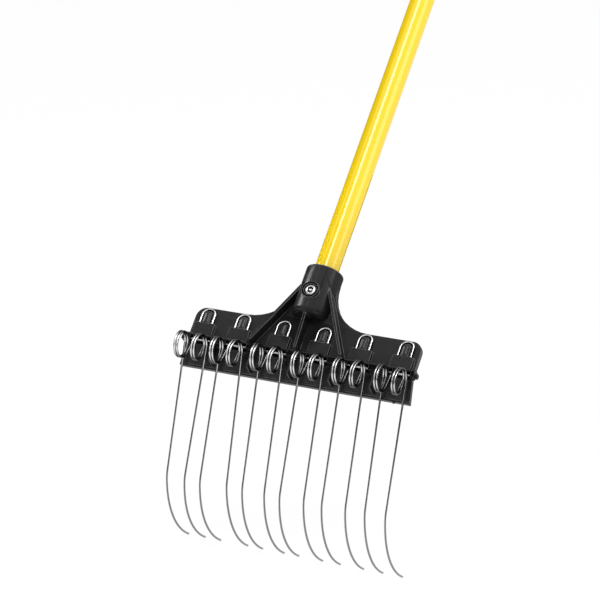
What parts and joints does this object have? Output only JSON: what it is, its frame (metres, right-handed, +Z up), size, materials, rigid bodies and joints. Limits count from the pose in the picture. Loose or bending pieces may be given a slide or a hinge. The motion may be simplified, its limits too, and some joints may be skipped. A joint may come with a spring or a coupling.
{
  "type": "shrub rake",
  "caption": "Long-handled rake with a moulded head and sprung wire tines in pairs, for clearing leaves and litter from between shrubs.",
  "frame": {"origin": "on the handle's axis where the lower hand holds it, 900 mm up the handle from the level of the spring coils", "axes": "+X across the head, +Z up. The handle leans back by 45.7 degrees, so it runs up towards +Y, where the user stands, and the tines reach down with their tips turned towards +Y"},
  "size_m": [0.2734, 1.0864, 1.2307],
  "materials": {
    "black_moulding": "satin black moulded plastic",
    "yellow_fibreglass": "glossy yellow fibreglass",
    "spring_steel": "bright drawn spring wire",
    "zinc_screw": "bright zinc-plated steel",
    "plug_wood": "plain turned wood",
    "black_rubber": "matt black rubber"
  },
  "bodies": {
    "rake": {"rake_head": "black_moulding", "handle_tube": "yellow_fibreglass", "core_plug": "plug_wood", "handle_cap": "black_rubber", "socket_screw": "zinc_screw", "retaining_rod": "spring_steel", "spring_1": "spring_steel", "spring_2": "spring_steel", "spring_3": "spring_steel", "spring_4": "spring_steel", "spring_5": "spring_steel", "spring_6": "spring_steel"},
    "tine_01_body": {"tine_01": "spring_steel"},
    "tine_02_body": {"tine_02": "spring_steel"},
    "tine_03_body": {"tine_03": "spring_steel"},
    "tine_04_body": {"tine_04": "spring_steel"},
    "tine_05_body": {"tine_05": "spring_steel"},
    "tine_06_body": {"tine_06": "spring_steel"},
    "tine_07_body": {"tine_07": "spring_steel"},
    "tine_08_body": {"tine_08": "spring_steel"},
    "tine_09_body": {"tine_09": "spring_steel"},
    "tine_10_body": {"tine_10": "spring_steel"},
    "tine_11_body": {"tine_11": "spring_steel"},
    "tine_12_body": {"tine_12": "spring_steel"}
  },
  "joints": [
    {"name": "tine_01_flex", "type": "hinge", "parent": "rake", "child": "tine_01_body", "pos_m": [-0.12595, -0.65677, -0.61562], "axis": [-1, 0, 0], "range_deg": [-5, 25], "stiffness_Nm_per_rad": 1.4, "deforming": ["spring_1"]},
    {"name": "tine_02_flex", "type": "hinge", "parent": "rake", "child": "tine_02_body", "pos_m": [-0.09995, -0.65677, -0.61562], "axis": [-1, 0, 0], "range_deg": [-5, 25], "stiffness_Nm_per_rad": 1.4, "deforming": ["spring_1"]},
    {"name": "tine_03_flex", "type": "hinge", "parent": "rake", "child": "tine_03_body", "pos_m": [-0.08395, -0.65677, -0.61562], "axis": [-1, 0, 0], "range_deg": [-5, 25], "stiffness_Nm_per_rad": 1.4, "deforming": ["spring_2"]},
    {"name": "tine_04_flex", "type": "hinge", "parent": "rake", "child": "tine_04_body", "pos_m": [-0.05795, -0.65677, -0.61562], "axis": [-1, 0, 0], "range_deg": [-5, 25], "stiffness_Nm_per_rad": 1.4, "deforming": ["spring_2"]},
    {"name": "tine_05_flex", "type": "hinge", "parent": "rake", "child": "tine_05_body", "pos_m": [-0.03665, -0.65677, -0.61562], "axis": [-1, 0, 0], "range_deg": [-5, 25], "stiffness_Nm_per_rad": 1.4, "deforming": ["spring_3"]},
    {"name": "tine_06_flex", "type": "hinge", "parent": "rake", "child": "tine_06_body", "pos_m": [-0.01065, -0.65677, -0.61562], "axis": [-1, 0, 0], "range_deg": [-5, 25], "stiffness_Nm_per_rad": 1.4, "deforming": ["spring_3"]},
    {"name": "tine_07_flex", "type": "hinge", "parent": "rake", "child": "tine_07_body", "pos_m": [0.01065, -0.65677, -0.61562], "axis": [-1, 0, 0], "range_deg": [-5, 25], "stiffness_Nm_per_rad": 1.4, "deforming": ["spring_4"]},
    {"name": "tine_08_flex", "type": "hinge", "parent": "rake", "child": "tine_08_body", "pos_m": [0.03665, -0.65677, -0.61562], "axis": [-1, 0, 0], "range_deg": [-5, 25], "stiffness_Nm_per_rad": 1.4, "deforming": ["spring_4"]},
    {"name": "tine_09_flex", "type": "hinge", "parent": "rake", "child": "tine_09_body", "pos_m": [0.05795, -0.65677, -0.61562], "axis": [-1, 0, 0], "range_deg": [-5, 25], "stiffness_Nm_per_rad": 1.4, "deforming": ["spring_5"]},
    {"name": "tine_10_flex", "type": "hinge", "parent": "rake", "child": "tine_10_body", "pos_m": [0.08395, -0.65677, -0.61562], "axis": [-1, 0, 0], "range_deg": [-5, 25], "stiffness_Nm_per_rad": 1.4, "deforming": ["spring_5"]},
    {"name": "tine_11_flex", "type": "hinge", "parent": "rake", "child": "tine_11_body", "pos_m": [0.10525, -0.65677, -0.61562], "axis": [-1, 0, 0], "range_deg": [-5, 25], "stiffness_Nm_per_rad": 1.4, "deforming": ["spring_6"]},
    {"name": "tine_12_flex", "type": "hinge", "parent": "rake", "child": "tine_12_body", "pos_m": [0.13125, -0.65677, -0.61562], "axis": [-1, 0, 0], "range_deg": [-5, 25], "stiffness_Nm_per_rad": 1.4, "deforming": ["spring_6"]}
  ]
}
